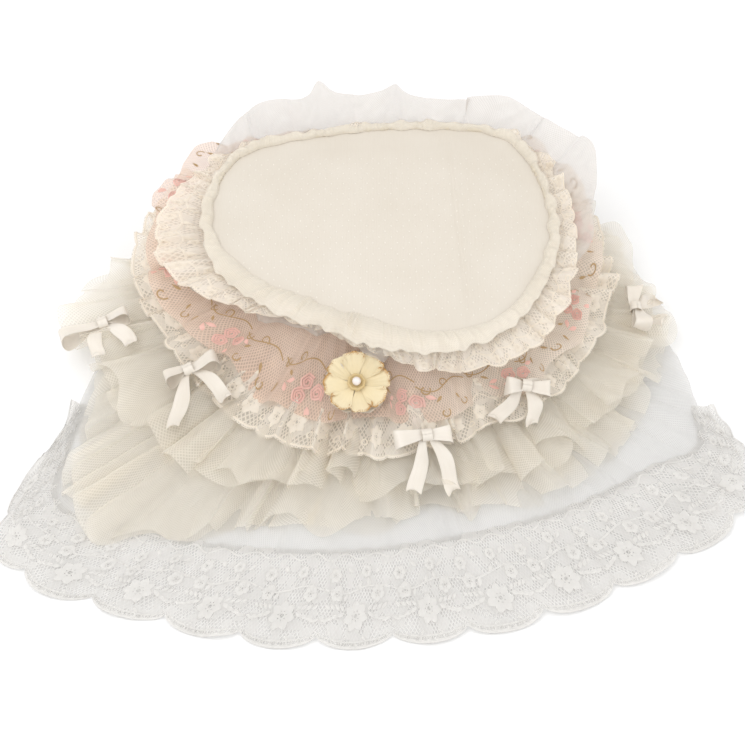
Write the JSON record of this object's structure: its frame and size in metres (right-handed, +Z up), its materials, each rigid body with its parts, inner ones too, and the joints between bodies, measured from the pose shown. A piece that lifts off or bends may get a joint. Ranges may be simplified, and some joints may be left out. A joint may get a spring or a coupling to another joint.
{
  "type": "ring bearer pillow",
  "caption": "Oval gusseted ceremony pillow with a flat padded top, tiered lace and tulle flounces, a lace-edged train, satin bows and a fabric flower.",
  "frame": {"origin": "on the floor plane under the middle of the pad, on the bottom panel's underside", "axes": "+Z up, -Y towards the front where the train is spread, +X to the right when seen from the front; the pad's length runs along X"},
  "size_m": [0.5165, 0.4532, 0.1056],
  "materials": {
    "pad_cotton": "woven swiss-dot cotton, matt",
    "gusset_cotton": "plain woven cotton, matt",
    "wadding": "white polyester wadding",
    "binding_net": "gathered net strip, matt",
    "collar_lace": "raschel lace, matt",
    "organza": "sheer organza, slight sheen",
    "pink_tulle": "embroidered soft tulle",
    "narrow_lace": "raschel lace, matt",
    "cream_tulle": "soft gathered tulle",
    "train_tulle": "sheer soft tulle",
    "train_lace": "scalloped raschel lace",
    "satin": "satin ribbon with a soft sheen",
    "felt": "stiff felt",
    "petal_ivory": "pressed satin petal",
    "petal_yellow": "pressed satin petal with a gold-dusted edge",
    "pearl": "glossy pearl bead"
  },
  "bodies": {
    "root": {"pillow_core": "wadding", "top_panel": "pad_cotton", "side_band": "gusset_cotton", "bottom_panel": "gusset_cotton", "seam_binding": "binding_net", "lace_collar": "collar_lace", "organza_frill": "organza", "pink_tulle_flounce": "pink_tulle", "narrow_lace_flounce": "narrow_lace", "upper_tulle_flounce": "cream_tulle", "lower_tulle_flounce": "cream_tulle", "train_tulle": "train_tulle", "train_lace": "train_lace", "bow_left_loops": "satin", "bow_left_tails": "satin", "bow_left_knot": "satin", "bow_left_front_loops": "satin", "bow_left_front_tails": "satin", "bow_left_front_knot": "satin", "bow_front_loops": "satin", "bow_front_tails": "satin", "bow_front_knot": "satin", "bow_right_loops": "satin", "bow_right_tails": "satin", "bow_right_knot": "satin", "bow_far_right_loops": "satin", "bow_far_right_tails": "satin", "bow_far_right_knot": "satin", "flower_backing": "felt", "flower_lower_petals": "petal_ivory", "flower_upper_petals": "petal_yellow", "flower_cup": "petal_yellow", "flower_pearl": "pearl"}
  },
  "joints": []
}
